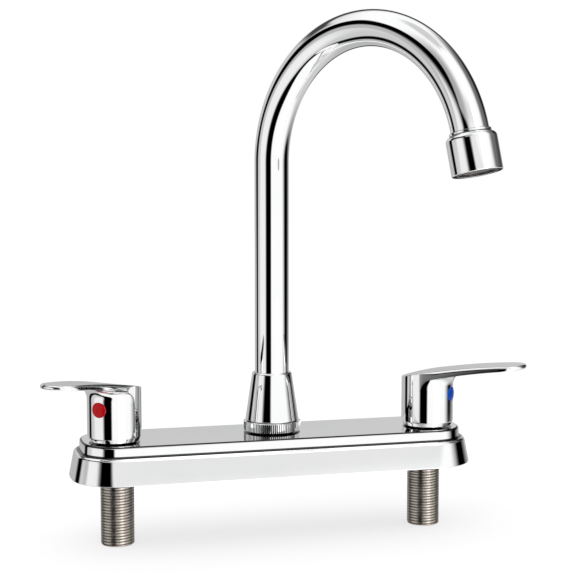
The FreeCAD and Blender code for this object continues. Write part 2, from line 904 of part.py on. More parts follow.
def aerator_screen():
    """Perforated disc across the outlet."""
    body = disc(insert_r(), screen_thickness, screen_z())
    limit = insert_r() - insert_wall - screen_hole_pitch
    rows = int(limit / screen_hole_pitch)
    holes = []
    for row in range(-rows, rows + 1):
        for column in range(-rows, rows + 1):
            centre = V(column * screen_hole_pitch, row * screen_hole_pitch, 0)
            if centre.Length <= limit:
                holes.append(disc(screen_hole_r, screen_thickness, screen_z(), centre))
    return placed_on_outlet(body.cut(Part.makeCompound(holes)))


def side_pieces(name, side, lever_azimuth):
    """All pieces of one valve column, placed on its axis."""
    inward = 0 if side < 0 else 180
    fixed = {
        "shank": shank(),
        "valve_body": valve_body(),
        "bonnet_nut": bonnet_nut(),
        "cartridge_body": cartridge_body(),
        "cartridge_seal": cartridge_seal(),
        "seat_seal": seat_seal(),
        "fixed_disc": fixed_disc(),
    }
    turning = {
        "moving_disc": moving_disc(),
        "stem": stem(),
        "stem_seal": stem_seal(),
        "handle": handle(),
        "index_plug": index_plug(),
        "set_screw": set_screw(),
    }
    pieces = {}
    for piece, shape in fixed.items():
        pieces[f"{name}_{piece}"] = moved(shape, valve_axis(side), inward)
    for piece, shape in turning.items():
        pieces[f"{name}_{piece}"] = moved(shape, valve_axis(side), lever_azimuth)
    return pieces


def all_pieces():
    pieces = {
        "deck_plate": deck_plate(),
        "base_gasket": base_gasket(),
        "hot_cross_tube": cross_tube(-1),
        "cold_cross_tube": cross_tube(1),
        "spout_post": spout_post(),
        "spout_nut": spout_nut(),
        "spout_slip_ring": slip_ring(),
        "spout_ferrule": spout_ferrule(),
        "spout_lower_seal": spout_seal(0),
        "spout_upper_seal": spout_seal(1),
        "spout_tube": spout_tube(),
        "spout_cone": spout_cone(),
        "aerator_adapter": aerator_adapter(),
        "aerator_housing": aerator_housing(),
        "aerator_washer": aerator_washer(),
        "flow_regulator": flow_regulator(),
        "aerator_insert": aerator_insert(),
        "aerator_screen": aerator_screen(),
    }
    pieces.update(side_pieces("hot", -1, hot_lever_azimuth))
    pieces.update(side_pieces("cold", 1, cold_lever_azimuth))
    return pieces


os.makedirs("parts", exist_ok=True)
for node, shape in all_pieces().items():
    shape.exportStep(f"parts/{node}.step")
    print(node, len(shape.Solids), round(shape.Volume, 1), shape.isValid())
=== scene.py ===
import json
import math

import bmesh
import bpy
from mathutils import Matrix, Vector


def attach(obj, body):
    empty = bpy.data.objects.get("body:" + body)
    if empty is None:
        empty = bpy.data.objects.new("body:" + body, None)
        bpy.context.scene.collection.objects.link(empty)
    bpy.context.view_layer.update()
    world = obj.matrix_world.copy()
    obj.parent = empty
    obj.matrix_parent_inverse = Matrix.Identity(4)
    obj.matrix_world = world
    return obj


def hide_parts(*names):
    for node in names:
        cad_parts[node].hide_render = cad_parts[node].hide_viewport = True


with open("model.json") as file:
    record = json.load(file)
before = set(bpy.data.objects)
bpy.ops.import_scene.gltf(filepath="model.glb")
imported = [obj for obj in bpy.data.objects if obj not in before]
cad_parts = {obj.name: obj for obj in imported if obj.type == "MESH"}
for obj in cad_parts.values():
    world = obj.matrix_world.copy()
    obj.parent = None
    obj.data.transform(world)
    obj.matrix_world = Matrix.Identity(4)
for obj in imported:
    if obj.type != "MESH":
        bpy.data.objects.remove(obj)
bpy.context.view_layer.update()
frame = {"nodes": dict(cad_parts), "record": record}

mm = 0.001
flatGap = 1e-7  # metres from a plane that still count as on it

# where the three columns stand on the deck, in millimetres like all sizes of the pieces
layout = {"valveX": 101.6, "valveY": -3.5, "spoutY": 2.5}

# each side: which way from the middle, where its lever points (degrees), its body and its plug's finish
sides = {
    "hot": {"way": -1, "azimuth": 227.5, "body": "hot_lever", "plug": "red_plastic"},
    "cold": {"way": 1, "azimuth": -41.0, "body": "cold_lever", "plug": "blue_plastic"},
}


def clearSelection():
    bpy.ops.object.select_all(action="DESELECT")


def makeActive(piece):
    clearSelection()
    piece.select_set(True)
    bpy.context.view_layer.objects.active = piece


def startRing(name, points):
    # a circle whose corners are put on the first ring of the shape
    clearSelection()
    bpy.ops.mesh.primitive_circle_add(vertices=len(points), radius=0.01, location=(0, 0, 0))
    piece = bpy.context.object
    piece.name = name
    piece.data.name = name
    bpy.ops.object.mode_set(mode="EDIT")
    mesh = bmesh.from_edit_mesh(piece.data)
    order = mesh.verts.layers.int.new("order")
    mesh.verts.ensure_lookup_table()
    for place, vertex in enumerate(mesh.verts):
        vertex[order] = place
        vertex.co = Vector(points[place]) * mm
        vertex.select_set(True)
    mesh.select_flush(True)
    bmesh.update_edit_mesh(piece.data)
    bpy.ops.mesh.select_all(action="SELECT")
    return piece


def nextRing(piece, points):
    # extrude the last ring and lay each of its corners in place
    bpy.ops.mesh.extrude_region_move(TRANSFORM_OT_translate={"value": (0, 0, 0)})
    mesh = bmesh.from_edit_mesh(piece.data)
    order = mesh.verts.layers.int["order"]
    for vertex in mesh.verts:
        if vertex.select:
            vertex.co = Vector(points[vertex[order]]) * mm
    bmesh.update_edit_mesh(piece.data)


def closeRing():
    bpy.ops.mesh.edge_face_add()


def capRing(piece):
    # close the first ring and leave only its edges selected, ready to be extruded
    closeRing()
    bpy.ops.mesh.select_mode(type="EDGE")
    mesh = bmesh.from_edit_mesh(piece.data)
    for face in mesh.faces:
        face.select_set(False)
    for edge in mesh.edges:
        edge.select_set(True)
    bmesh.update_edit_mesh(piece.data)


def openProfile(piece, last):
    # take out the edge that joins a profile's two ends
    mesh = bmesh.from_edit_mesh(piece.data)
    order = mesh.verts.layers.int["order"]
    seam = [edge for edge in mesh.edges if {vertex[order] for vertex in edge.verts} == {0, last}]
    bmesh.ops.delete(mesh, geom=seam, context="EDGES")
    bmesh.update_edit_mesh(piece.data)


def leaveEdit(mergeMm=0.002):
    bpy.ops.mesh.select_all(action="SELECT")
    bpy.ops.mesh.remove_doubles(threshold=mergeMm * mm)
    bpy.ops.mesh.dissolve_degenerate(threshold=mergeMm * mm)
    bpy.ops.mesh.select_all(action="SELECT")
    bpy.ops.mesh.normals_make_consistent(inside=False)
    bpy.ops.object.mode_set(mode="OBJECT")


def applyModifier(piece, kind, name, **values):
    makeActive(piece)
    modifier = piece.modifiers.new(name, kind)
    for key, value in values.items():
        setattr(modifier, key, value)
    bpy.ops.object.modifier_apply(modifier=name)


def polishShading(piece, angle=35):
    # large flat faces keep their own normals, small roundings carry the turn
    makeActive(piece)
    bpy.ops.object.shade_smooth_by_angle(angle=math.radians(angle))
    applyModifier(piece, "WEIGHTED_NORMAL", "evenNormals", mode="FACE_AREA", keep_sharp=True)


def roundCorners(corners, closed=True, steps=6):
    # corners are (across, up, radius), in millimetres
    path = []
    for place, (across, up, radius) in enumerate(corners):
        here = Vector((across, up))
        if radius == 0 or (not closed and place in (0, len(corners) - 1)):
            path.append(here)
            continue
        before = (Vector(corners[place - 1][:2]) - here).normalized()
        after = (Vector(corners[(place + 1) % len(corners)][:2]) - here).normalized()
        half = before.angle(after) / 2
        centre = here + (before + after).normalized() * radius / math.sin(half)
        first = here + before * radius / math.tan(half) - centre
        last = here + after * radius / math.tan(half) - centre
        turn = math.pi - 2 * half
        for step in range(steps + 1):
            share = step / steps
            mix = first * math.sin((1 - share) * turn) + last * math.sin(share * turn)
            path.append(centre + mix / math.sin(turn))
    return path


def spunPiece(name, path, steps=96, closed=True):
    # a section beside the upright axis, spun all the way round
    piece = startRing(name, [(across, 0, up) for across, up in path])
    if not closed:
        openProfile(piece, len(path) - 1)
        bpy.ops.mesh.select_all(action="SELECT")
    bpy.ops.mesh.spin(steps=steps, angle=2 * math.pi, center=(0, 0, 0), axis=(0, 0, 1))
    leaveEdit()
    return piece


def paintShade(piece, rule):
    # painted shade: how dark seams, creases, recesses and undersides are painted, kept on the mesh as the
    # seam attribute: rule takes millimetres
    seam = piece.data.attributes.new("seam", "FLOAT", "POINT")
    for vertex in piece.data.vertices:
        x, y, z = vertex.co / mm
        seam.data[vertex.index].value = min(max(rule(x, y, z), 0), 1)


def putInPlace(piece, matrix):
    # the object stays at the origin, its place goes into the mesh
    makeActive(piece)
    piece.matrix_world = matrix
    bpy.context.view_layer.update()
    bpy.ops.object.transform_apply(location=True, rotation=True, scale=True)


def finishPiece(piece, body, slotName, node):
    piece.data.materials.clear()
    piece.data.materials.append(materials[slotName])
    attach(piece, body)
    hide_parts(node)
    print("made", piece.name, len(piece.data.polygons), "faces")


def turnedAbout(degrees, x=0.0, y=0.0):
    return Matrix.Translation(Vector((x, y, 0)) * mm) @ Matrix.Rotation(math.radians(degrees), 4, "Z")


def valvePlace(side, degrees=0.0):
    return turnedAbout(degrees, sides[side]["way"] * layout["valveX"], layout["valveY"])


# materials

# painted shade: the colour that the seam attribute paints into creases, recesses and undersides
paintedShadeTone = (0.008, 0.008, 0.009)  # what the seam attribute darkens a finish to
noiseFrom, noiseTo = 0.3, 0.7  # the part of the noise that a finish's two ends are spread over
bumpStrength = 0.3


def newMaterial(name):
    material = bpy.data.materials.new(name)
    material.use_nodes = True
    nodes = material.node_tree.nodes
    return material, nodes, material.node_tree.links, nodes["Principled BSDF"]


def emptyMaterial(name):
    material = newMaterial(name)[0]
    nodes = material.node_tree.nodes
    nodes.clear()
    return material, nodes, material.node_tree.links


def objectNoise(nodes, links, scale, stretch):
    place = nodes.new("ShaderNodeTexCoord")
    mapping = nodes.new("ShaderNodeMapping")
    mapping.inputs["Scale"].default_value = stretch
    links.new(place.outputs["Object"], mapping.inputs["Vector"])
    noise = nodes.new("ShaderNodeTexNoise")
    noise.inputs["Scale"].default_value = scale
    noise.inputs["Detail"].default_value = 4.0
    links.new(mapping.outputs["Vector"], noise.inputs["Vector"])
    return noise


def spreadColour(nodes, links, noise, low, high, shader):
    ramp = nodes.new("ShaderNodeValToRGB")
    ramp.color_ramp.elements[0].position = noiseFrom
    ramp.color_ramp.elements[0].color = (*low, 1)
    ramp.color_ramp.elements[1].position = noiseTo
    ramp.color_ramp.elements[1].color = (*high, 1)
    links.new(noise.outputs["Fac"], ramp.inputs["Fac"])
    # painted shade: the seam attribute mixes the colour towards the painted shade tone
    seam = nodes.new("ShaderNodeAttribute")
    seam.attribute_name = "seam"
    shadeMix = nodes.new("ShaderNodeMix")
    shadeMix.data_type = "RGBA"
    links.new(seam.outputs["Fac"], shadeMix.inputs["Factor"])
    links.new(ramp.outputs["Color"], shadeMix.inputs["A"])
    shadeMix.inputs["B"].default_value = (*paintedShadeTone, 1)
    links.new(shadeMix.outputs["Result"], shader.inputs["Base Color"])


def spreadRoughness(nodes, links, noise, low, high, shader):
    spread = nodes.new("ShaderNodeMapRange")
    spread.inputs["From Min"].default_value = noiseFrom
    spread.inputs["From Max"].default_value = noiseTo
    spread.inputs["To Min"].default_value = low
    spread.inputs["To Max"].default_value = high
    links.new(noise.outputs["Fac"], spread.inputs["Value"])
    links.new(spread.outputs["Result"], shader.inputs["Roughness"])


def addBump(nodes, links, noise, distance, shader):
    bump = nodes.new("ShaderNodeBump")
    bump.inputs["Strength"].default_value = bumpStrength
    bump.inputs["Distance"].default_value = distance
    links.new(noise.outputs["Fac"], bump.inputs["Height"])
    links.new(bump.outputs["Normal"], shader.inputs["Normal"])


# each finish: two colours it wanders between, two roughnesses, how metallic it is, noise size and
# bump depth in metres; some stretch the noise or turn the plain gloss of 0.5 down
finishes = {
    "polished_chrome": {
        "low": (0.93, 0.935, 0.94), "high": (0.965, 0.965, 0.965), "rough": (0.015, 0.035),
        "metal": 1, "scale": 38, "bump": 0.000002},
    "nickel_plate": {
        "low": (0.40, 0.365, 0.33), "high": (0.54, 0.50, 0.46), "rough": (0.26, 0.34),
        "metal": 1, "scale": 160, "bump": 0.00002, "stretch": (1, 1, 2.5)},
    "brass": {
        "low": (0.42, 0.29, 0.12), "high": (0.56, 0.40, 0.18), "rough": (0.3, 0.45),
        "metal": 1, "scale": 300, "bump": 0.00004, "stretch": (1, 1, 9)},
    "steel": {
        "low": (0.42, 0.42, 0.43), "high": (0.58, 0.58, 0.59), "rough": (0.25, 0.4),
        "metal": 1, "scale": 500, "bump": 0.00003},
    "screen_steel": {
        "low": (0.20, 0.18, 0.17), "high": (0.42, 0.39, 0.37), "rough": (0.3, 0.5),
        "metal": 1, "scale": 900, "bump": 0.00003},
    "black_rubber": {
        "low": (0.012, 0.012, 0.013), "high": (0.03, 0.03, 0.032), "rough": (0.6, 0.8),
        "metal": 0, "scale": 700, "bump": 0.00008},
    "white_plastic": {
        "low": (0.78, 0.78, 0.75), "high": (0.86, 0.86, 0.84), "rough": (0.4, 0.55),
        "metal": 0, "scale": 400, "bump": 0.00003},
    "ceramic": {
        "low": (0.86, 0.86, 0.83), "high": (0.93, 0.93, 0.9), "rough": (0.08, 0.16),
        "metal": 0, "scale": 500, "bump": 0.00001},
    "red_plastic": {
        "low": (0.62, 0.001, 0.005), "high": (0.74, 0.003, 0.009), "rough": (0.16, 0.26),
        "metal": 0, "scale": 260, "bump": 0.00003, "gloss": 0.2},
    "blue_plastic": {
        "low": (0.003, 0.08, 0.56), "high": (0.006, 0.11, 0.72), "rough": (0.16, 0.26),
        "metal": 0, "scale": 260, "bump": 0.00003, "gloss": 0.2},
}

# painted shade: the brass that shows in the gaps over the deck is painted dark in a band of heights
gapShade = {"from": 22.8, "to": 27.5, "tone": (0.02, 0.015, 0.008)}


def addGapShade(nodes, links, shader):
    # painted shade: darkens the brass colour within the band of heights
    place = nodes.new("ShaderNodeTexCoord")
    split = nodes.new("ShaderNodeSeparateXYZ")
    links.new(place.outputs["Object"], split.inputs["Vector"])
    middle = (gapShade["from"] + gapShade["to"]) / 2
    band = nodes.new("ShaderNodeMath")
    band.operation = "COMPARE"
    band.inputs[1].default_value = middle * mm
    band.inputs[2].default_value = (gapShade["to"] - middle) * mm
    links.new(split.outputs["Z"], band.inputs[0])
    mix = nodes.new("ShaderNodeMix")
    mix.data_type = "RGBA"
    links.new(band.outputs[0], mix.inputs["Factor"])
    links.new(shader.inputs["Base Color"].links[0].from_socket, mix.inputs["A"])
    mix.inputs["B"].default_value = (*gapShade["tone"], 1)
    links.new(mix.outputs["Result"], shader.inputs["Base Color"])


def makeFinish(name, values):
    material, nodes, links, shader = newMaterial(name)
    noise = objectNoise(nodes, links, values["scale"], values.get("stretch", (1, 1, 1)))
    spreadColour(nodes, links, noise, values["low"], values["high"], shader)
    spreadRoughness(nodes, links, noise, *values["rough"], shader)
    addBump(nodes, links, noise, values["bump"], shader)
    shader.inputs["Metallic"].default_value = values["metal"]
    shader.inputs["Specular IOR Level"].default_value = values.get("gloss", 0.5)
    # the brass gets the painted shade in the gaps under the handles and the nut
    if name == "brass":
        addGapShade(nodes, links, shader)
    return material


materials = {name: makeFinish(name, values) for name, values in finishes.items()}

slotOf = {entry["node"]: entry["material_slot"] for entry in frame["record"]["subparts"]}
for node, piece in frame["nodes"].items():
    piece.data.materials.clear()
    piece.data.materials.append(materials[slotOf[node]])
print("finishes ready:", len(materials))


# deck plate

deck = {
    "halfLength": 123.6, "halfWidth": 28.1, "cornerR": 22.0, "endR": 110.0,
    "height": 23.1, "skirtHeight": 16.2, "footOffset": 6.9, "ledgeOffset": 3.7, "plateauFoot": 0.4,
    "wall": 2.2, "edgeR": 1.4, "ledgeR": 2.0, "rootR": 0.8, "footR": 0.35,
    "topInset": 4.0, "belowEdge": 1.7, "creaseTop": 1.0, "creaseEnd": 1.3,
    # how dark the painted shade in the crease and the painted dark reflection line round the top edge are,
    # and how far down the rounding the line reaches
    "creaseShade": 0.96, "edgeShade": 0.97, "edgeShadeShare": 0.6,
    "valveHoleR": 9.5, "spoutHoleR": 13.5, "cutterDepth": 12.0,
    "endSteps": 14, "cornerSteps": 18, "roundSteps": 7, "holeSides": 64,
}


def deckOutline(offset, z):
    # one ring round the deck: long ends on a large arc, corners on a small one
    endSteps, cornerSteps = deck["endSteps"], deck["cornerSteps"]
    halfLength = deck["halfLength"] + offset
    halfWidth = deck["halfWidth"] + offset
    cornerR = deck["cornerR"] + offset
    endR = deck["endR"] + offset
    endX = halfLength - endR
    cornerY = halfWidth - cornerR
    cornerX = endX + math.sqrt((endR - cornerR) ** 2 - cornerY ** 2)
    lean = math.atan2(cornerY, cornerX - endX)
    quarter = []
    for step in range(endSteps + 1):
        angle = lean * step / endSteps
        quarter.append((endX + endR * math.cos(angle), endR * math.sin(angle)))
    for step in range(1, cornerSteps + 1):
        angle = lean + (math.pi / 2 - lean) * step / cornerSteps
        quarter.append((cornerX + cornerR * math.cos(angle), cornerY + cornerR * math.sin(angle)))
    ring = quarter + [(-x, y) for x, y in reversed(quarter)]
    ring += [(-x, -y) for x, y in quarter[1:]] + [(x, -y) for x, y in reversed(quarter[1:])]
    return [(x, y, z) for x, y in ring]


def makeDeck():
    ledge = deck["skirtHeight"]
    wall = deck["wall"]
    top = deck["height"]
    slope = deck["plateauFoot"] / (top - ledge)
    creaseTop, creaseEnd, belowEdge = deck["creaseTop"], deck["creaseEnd"], deck["belowEdge"]
    outside = roundCorners([
        (deck["footOffset"] - wall, 0, 0),
        (deck["footOffset"], 0, deck["footR"]),
        (deck["ledgeOffset"], ledge, deck["ledgeR"]),
        (deck["plateauFoot"], ledge, deck["rootR"]),
        (slope * (top - ledge - creaseTop), ledge + creaseTop, 0),
        (slope * (top - ledge - creaseEnd), ledge + creaseEnd, 0),
        (slope * belowEdge, top - belowEdge, 0),
        (0, top, deck["edgeR"]),
        (-deck["topInset"], top, 0),
    ], closed=False, steps=deck["roundSteps"])
    inside = [
        (-wall, top - wall),
        (deck["plateauFoot"] - wall, ledge - wall),
        (deck["ledgeOffset"] - wall, ledge - wall),
    ]
    piece = startRing("deckPlate", deckOutline(*inside[0]))
    capRing(piece)
    for offset, z in inside[1:] + [tuple(point) for point in outside]:
        nextRing(piece, deckOutline(offset, z))
    closeRing()
    leaveEdit()

    def deckShadePaint(x, y, z):
        # painted shade where the plateau meets the ledge, and a painted dark reflection line round its top
        # edge
        if ledge - 0.01 < z < ledge + creaseTop + 0.05:
            return deck["creaseShade"]
        nearEdge = top - deck["edgeR"] * deck["edgeShadeShare"] < z < top - 0.002
        return deck["edgeShade"] if nearEdge else 0

    paintShade(piece, deckShadePaint)
    for x, y, radius in (
        (-layout["valveX"], layout["valveY"], deck["valveHoleR"]),
        (layout["valveX"], layout["valveY"], deck["valveHoleR"]),
        (0, layout["spoutY"], deck["spoutHoleR"]),
    ):
        clearSelection()
        bpy.ops.mesh.primitive_cylinder_add(
            vertices=deck["holeSides"], radius=radius * mm, depth=deck["cutterDepth"] * mm,
            location=(x * mm, y * mm, top * mm))
        cutter = bpy.context.object
        applyModifier(
            piece, "BOOLEAN", "neckHole", operation="DIFFERENCE", object=cutter, solver="EXACT")
        bpy.data.objects.remove(cutter)
    polishShading(piece)
    finishPiece(piece, "faucet_body", "polished_chrome", "deck_plate")


makeDeck()


# handles

handle = {
    "hubR": 16.8, "lead": 2.4, "bottom": 24.1,
    "rimInset": 0.8, "rimHeight": 2.6, "rimEdge": 0.15, "rimTuck": 0.1, "rimBelow": 0.3, "rimAbove": 0.2,
    "reach": 66.5, "tipR": 13.0, "rootThick": 4.6, "tipThick": 2.7,
    # the top is an arc through these three heights, from the hub's back to the lever's tip
    "backZ": 55.0, "midZ": 63.2, "tipZ": 67.3,
    "coveR": 6.5, "coveEase": 2.5, "coveShare": 0.5, "waveNear": 1.5, "waveFar": 9.0,
    "underRound": 0.40, "topRound": 0.50, "leastRound": 0.3, "roundGrowth": 0.25,
    "cavityR": 12.6, "cavityTop": 50.0, "bossR": 7.6, "bossZ": 37.5, "socketR": 4.1, "socketTop": 49.0,
    # the first key on the next line is how high the painted shade in the cavity reaches
    "shadeTop": 49.5, "tipSteps": 16, "sideSteps": 22, "backSteps": 26, "hubShare": 50,
    "coveSteps": 20, "edgeSteps": 8, "roundSteps": 6,
    "wallShares": (0.25, 0.5, 0.75), "topShares": (0.1, 0.3, 0.55, 0.8, 1.0),
}


def topCurve():
    # centre and radius of the arc through the three points
    hubR, reach = handle["hubR"], handle["reach"]
    ax, az = -hubR, handle["backZ"]
    bx, bz = (reach - hubR) / 2, handle["midZ"]
    cx, cz = reach, handle["tipZ"]
    d = 2 * (ax * (bz - cz) + bx * (cz - az) + cx * (az - bz))
    a2, b2, c2 = ax ** 2 + az ** 2, bx ** 2 + bz ** 2, cx ** 2 + cz ** 2
    centreX = (a2 * (bz - cz) + b2 * (cz - az) + c2 * (az - bz)) / d
    centreZ = (a2 * (cx - bx) + b2 * (ax - cx) + c2 * (bx - ax)) / d
    return centreX, centreZ, math.hypot(ax - centreX, az - centreZ)


topCentreX, topCentreZ, topRadius = topCurve()


def topZ(u):
    return topCentreZ + math.sqrt(topRadius ** 2 - (u - topCentreX) ** 2)


def leverThick(u):
    share = (u - handle["hubR"]) / (handle["reach"] - handle["hubR"])
    return handle["rootThick"] + share * (handle["tipThick"] - handle["rootThick"])


def underZ(u):
    return topZ(u) - leverThick(u)


def handleColumns():
    # round the handle, each column's hub angle, hub point, outline point and point on the middle line
    hubR, tipR = handle["hubR"], handle["tipR"]
    tipX = handle["reach"] - tipR
    lean = math.asin((hubR - tipR) / tipX)
    square = math.pi / 2 - lean
    share = math.radians(handle["hubShare"])
    half = []
    for step in range(handle["tipSteps"]):
        part = step / handle["tipSteps"]
        angle = part * square
        half.append((part * share, (tipX + tipR * math.cos(angle), tipR * math.sin(angle)), tipX))
    far = Vector((tipX + tipR * math.sin(lean), tipR * math.cos(lean)))
    near = Vector((hubR * math.sin(lean), hubR * math.cos(lean)))
    for step in range(handle["sideSteps"]):
        part = step / handle["sideSteps"]
        spot = far.lerp(near, part)
        half.append((share + part * (square - share), (spot.x, spot.y), tipX * (1 - part)))
    for step in range(handle["backSteps"] + 1):
        angle = square + (math.pi - square) * step / handle["backSteps"]
        half.append((angle, (hubR * math.cos(angle), hubR * math.sin(angle)), 0.0))
    other = [(-angle, (x, -y), middle) for angle, (x, y), middle in reversed(half[1:-1])]
    columns = []
    for angle, spot, middle in half + other:
        hub = Vector((hubR * math.cos(angle), hubR * math.sin(angle)))
        columns.append((angle, hub, Vector(spot), Vector((middle, 0))))
    return columns


def sideRing(columns, step):
    # from the hub's wall (step 0) round the cove, out under the lever and up round its edge;
    # where the lever's side is close to the hub the way becomes one soft wave
    ring = []
    coveR, coveSteps, edgeSteps = handle["coveR"], handle["coveSteps"], handle["edgeSteps"]
    for angle, hub, spot, middle in columns:
        away = (spot - hub).length
        rise = handle["underRound"] * leverThick(spot.x)
        rounding = min(rise, away / 2)
        far = away - rounding
        across = min(coveR, far)
        blend = min(max((far - coveR / 2) / (handle["coveEase"] * coveR), 0), 1)
        arcShare = 1 - blend * handle["coveShare"]
        part = step / coveSteps
        if part <= arcShare:
            turn = math.pi / 2 * part / arcShare
            out = across * (1 - math.cos(turn))
            lift = coveR * (math.sin(turn) - 1)
        elif part <= 1:
            out = across + (far - across) * (part - arcShare) / (1 - arcShare)
            lift = 0
        else:
            turn = math.pi / 2 * (step - coveSteps) / edgeSteps
            out = far + rounding * math.sin(turn)
            lift = rise * (1 - math.cos(turn))
        share = step / (coveSteps + edgeSteps)
        waveOut = away * share * share * (3 - 2 * share)
        waveLift = -coveR + share * (coveR + rise)
        free = min(max((away - handle["waveNear"]) / (handle["waveFar"] - handle["waveNear"]), 0), 1)
        free = free * free * (3 - 2 * free)
        out = waveOut + free * (out - waveOut)
        lift = waveLift + free * (lift - waveLift)
        place = hub + (spot - hub).normalized() * out if away > 1e-6 else hub.copy()
        ring.append((place.x, place.y, underZ(place.x) + lift))
    return ring


def topRing(columns, turn, share=0.0):
    # rounding from the lever's side (turn 0) up to its top, then on towards the middle line
    ring = []
    for angle, hub, spot, middle in columns:
        most = handle["leastRound"] + handle["roundGrowth"] * (spot - hub).length
        bevel = min(handle["topRound"] * leverThick(spot.x), most)
        inward = (middle - spot).normalized()
        place = spot + inward * bevel * (1 - math.cos(turn))
        place = place.lerp(middle, share)
        ring.append((place.x, place.y, topZ(place.x) - bevel * (1 - math.sin(turn))))
    return ring


def hubRing(columns, radius, z, outer=False):
    # the hub's outside stands forward of the valve's axis by the lead, its inside is round the axis
    shift = 0 if outer else -handle["lead"]
    return [(shift + radius * math.cos(angle), radius * math.sin(angle), z) for angle, *_ in columns]


def handleRings():
    columns = handleColumns()
    hubR, bottom, edge = handle["hubR"], handle["bottom"], handle["rimEdge"]
    rimR, rimTop = hubR - handle["rimInset"], bottom + handle["rimHeight"]
    wallFoot = rimTop + handle["rimAbove"]
    rings = [
        hubRing(columns, handle["socketR"], handle["socketTop"]),
        hubRing(columns, handle["socketR"], handle["bossZ"]),
        hubRing(columns, handle["bossR"], handle["bossZ"]),
        hubRing(columns, handle["bossR"], handle["cavityTop"]),
        hubRing(columns, handle["cavityR"], handle["cavityTop"]),
        hubRing(columns, handle["cavityR"], bottom),
        hubRing(columns, rimR - edge, bottom, True),
        hubRing(columns, rimR, bottom + edge, True),
        hubRing(columns, hubR - handle["rimTuck"], rimTop - handle["rimBelow"], True),
        hubRing(columns, hubR, wallFoot, True),
    ]
    first = sideRing(columns, 0)
    for share in handle["wallShares"]:
        rings.append([(x, y, wallFoot + (z - wallFoot) * share) for x, y, z in first])
    rings.append(first)
    for step in range(1, handle["coveSteps"] + handle["edgeSteps"] + 1):
        rings.append(sideRing(columns, step))
    for step in range(handle["roundSteps"] + 1):
        rings.append(topRing(columns, math.pi / 2 * step / handle["roundSteps"]))
    for share in handle["topShares"]:
        rings.append(topRing(columns, math.pi / 2, share))
    return rings


def makeHandle(side):
    place = valvePlace(side, sides[side]["azimuth"])
    axis = valvePlace(side).translation / mm

    def placed(ring):
        return [(place @ (Vector((x + handle["lead"], y, z)) * mm)) / mm for x, y, z in ring]

    def handleShadePaint(x, y, z):
        # painted shade: the rim's underside and the cavity are painted dark
        inside = math.hypot(x - axis.x, y - axis.y) < handle["cavityR"] + 0.1
        return 1 if z < handle["bottom"] + 0.1 or inside and z < handle["shadeTop"] else 0

    rings = handleRings()
    piece = startRing(side + "Handle", placed(rings[0]))
    capRing(piece)
    for ring in rings[1:]:
        nextRing(piece, placed(ring))
    leaveEdit(mergeMm=0.004)
    paintShade(piece, handleShadePaint)
    polishShading(piece, angle=40)
    finishPiece(piece, sides[side]["body"], "polished_chrome", side + "_handle")


for side in sides:
    makeHandle(side)


# colour plugs

plug = {
    "radius": 4.95, "back": 15.6, "depth": 3.6, "dome": 0.8, "z": 44.8, "edgeR": 0.25,
    "faceSteps": 8, "sides": 48,
}


def makePlug(side):
    radius, dome, faceSteps = plug["radius"], plug["dome"], plug["faceSteps"]
    ballR = (radius ** 2 + dome ** 2) / (2 * dome)
    face = []
    for step in range(faceSteps + 1):
        across = (radius - plug["edgeR"]) * (faceSteps - step) / faceSteps
        face.append((across, plug["depth"] + dome - ballR + math.sqrt(ballR ** 2 - across ** 2)))
    path = [(0, 0), (radius, 0), (radius, plug["depth"] - plug["edgeR"])] + face
    piece = spunPiece(side + "Plug", path, steps=plug["sides"], closed=False)
    seat = Matrix.Translation(Vector((plug["back"], 0, plug["z"])) * mm)
    lay = Matrix.Rotation(math.pi / 2, 4, "Y")
    putInPlace(piece, valvePlace(side, sides[side]["azimuth"]) @ seat @ lay)
    polishShading(piece, angle=40)
    finishPiece(piece, sides[side]["body"], sides[side]["plug"], side + "_index_plug")


for side in sides:
    makePlug(side)


# spout

spout = {
    "tubeR": 10.9, "wall": 1.2, "footZ": 28.56, "archR": 80.0, "archZ": 195.4, "sweep": 166.5,
    "azimuth": -59.7, "sides": 112, "archSteps": 150, "riserSteps": 4,
}


def spoutPlace():
    return turnedAbout(spout["azimuth"], 0, layout["spoutY"])


def outletPlace():
    turn = math.radians(spout["sweep"])
    archR = spout["archR"]
    end = Vector((archR - archR * math.cos(turn), 0, spout["archZ"] + archR * math.sin(turn))) * mm
    return spoutPlace() @ Matrix.Translation(end) @ Matrix.Rotation(turn, 4, "Y")


def makeTube():
    tubeR, footZ, archZ = spout["tubeR"], spout["footZ"], spout["archZ"]
    turns = [2 * math.pi * k / spout["sides"] for k in range(spout["sides"])]
    circle = [(tubeR * math.cos(turn), tubeR * math.sin(turn)) for turn in turns]
    piece = startRing("spoutTube", [(x, y, footZ) for x, y in circle])
    for step in range(1, spout["riserSteps"] + 1):
        z = footZ + (archZ - footZ) * step / spout["riserSteps"]
        nextRing(piece, [(x, y, z) for x, y in circle])
    bpy.ops.mesh.spin(
        steps=spout["archSteps"], angle=math.radians(spout["sweep"]),
        center=(spout["archR"] * mm, 0, archZ * mm), axis=(0, -1, 0), use_auto_merge=False)
    leaveEdit()
    applyModifier(piece, "SOLIDIFY", "tubeWall", thickness=spout["wall"] * mm, offset=-1)
    putInPlace(piece, spoutPlace())
    polishShading(piece, angle=50)
    finishPiece(piece, "spout", "polished_chrome", "spout_tube")


makeTube()

cone = {
    "foot": 30.4, "height": 31.0, "footR": 17.1, "topR": 12.6, "wall": 2.2, "collar": 10.0,
    "lipR": 1.2, "footEdgeR": 0.6, "boreR": 10.92, "boreEdgeR": 0.2, "sides": 108,
}


